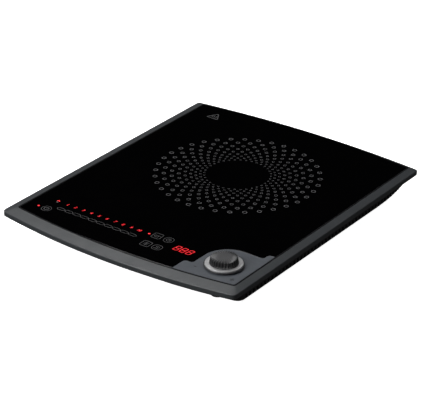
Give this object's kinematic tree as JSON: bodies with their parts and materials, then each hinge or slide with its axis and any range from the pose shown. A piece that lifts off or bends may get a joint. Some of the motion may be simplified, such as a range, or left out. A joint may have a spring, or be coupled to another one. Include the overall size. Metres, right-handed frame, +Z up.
{
  "type": "portable induction hob",
  "caption": "Flat tabletop hob: black glass plate in a bowed frame, touch keys, red display, rotary dial, vented base with coil, fan and boards inside, rubber feet.",
  "frame": {"origin": "on the surface that the feet stand on, under the centre of the outline", "axes": "+X to the right along the front, +Y from the front (controls) to the back, +Z up"},
  "size_m": [0.3214, 0.4002, 0.0578],
  "materials": {
    "frame_plastic": "fine satin moulded, anthracite",
    "tub_plastic": "moulded, black",
    "black_glass": "polished black glass ceramic, printed",
    "panel_plastic": "satin moulded, blue grey",
    "knob_plastic": "satin moulded, dark grey",
    "satin_metal": "satin",
    "black_rubber": "moulded, black",
    "zinc_steel": "zinc plated",
    "circuit_board": "solder mask, green",
    "copper": "enamelled copper wire",
    "mica": "pressed mica sheet",
    "ferrite": "sintered, unpolished",
    "aluminium": "extruded, bare",
    "moulded_black": "moulded, black",
    "white_plastic": "moulded, heat resistant, off white",
    "film_yellow": "wrapped film, yellow",
    "red_lens": "tinted lens over light emitting diodes"
  },
  "bodies": {
    "casing": {"base_tub": "tub_plastic", "top_frame": "frame_plastic", "glass_top": "black_glass", "glass_gasket": "black_rubber", "knob_panel": "panel_plastic", "encoder_body": "zinc_steel", "encoder_board": "circuit_board", "encoder_screw_1": "zinc_steel", "encoder_screw_2": "zinc_steel", "control_board": "circuit_board", "display_bracket": "moulded_black", "display_module": "red_lens", "digit_light_guide": "red_lens", "touch_film": "film_yellow", "bracket_screw_1": "zinc_steel", "bracket_screw_2": "zinc_steel", "induction_coil": "copper", "coil_carrier": "white_plastic", "mica_sheet": "mica", "sensor_holder": "white_plastic", "power_board": "circuit_board", "heat_sink": "aluminium", "power_transistor": "moulded_black", "bridge_rectifier": "moulded_black", "resonant_capacitor": "film_yellow", "smoothing_capacitor": "film_yellow", "standby_transformer": "film_yellow", "terminal_block": "white_plastic", "choke_ring": "copper", "mains_fuse": "white_plastic", "fan_housing": "moulded_black", "cord_inlet": "black_rubber", "cord_clamp": "white_plastic", "clamp_screw_1": "zinc_steel", "clamp_screw_2": "zinc_steel", "ferrite_bar_1": "ferrite", "ferrite_bar_2": "ferrite", "ferrite_bar_3": "ferrite", "ferrite_bar_4": "ferrite", "ferrite_bar_5": "ferrite", "ferrite_bar_6": "ferrite", "case_screw_1": "zinc_steel", "case_screw_2": "zinc_steel", "case_screw_3": "zinc_steel", "case_screw_4": "zinc_steel", "case_screw_5": "zinc_steel", "case_screw_6": "zinc_steel", "carrier_screw_1": "zinc_steel", "carrier_screw_2": "zinc_steel", "carrier_screw_3": "zinc_steel", "rubber_foot_1": "black_rubber", "rubber_foot_2": "black_rubber", "rubber_foot_3": "black_rubber", "rubber_foot_4": "black_rubber"},
    "dial": {"dial_knob": "knob_plastic", "knob_skirt": "satin_metal", "encoder_shaft": "satin_metal"},
    "fan": {"fan_rotor": "moulded_black", "fan_shaft": "satin_metal"}
  },
  "joints": [
    {"name": "dial_turn", "type": "hinge", "parent": "casing", "child": "dial", "pos_m": [0.116, -0.14155, 0.05], "axis": [0, 0, 1], "continuous": true},
    {"name": "fan_spin", "type": "hinge", "parent": "casing", "child": "fan", "pos_m": [-0.0757, -0.08105, 0.018], "axis": [0, 0, 1], "continuous": true}
  ]
}
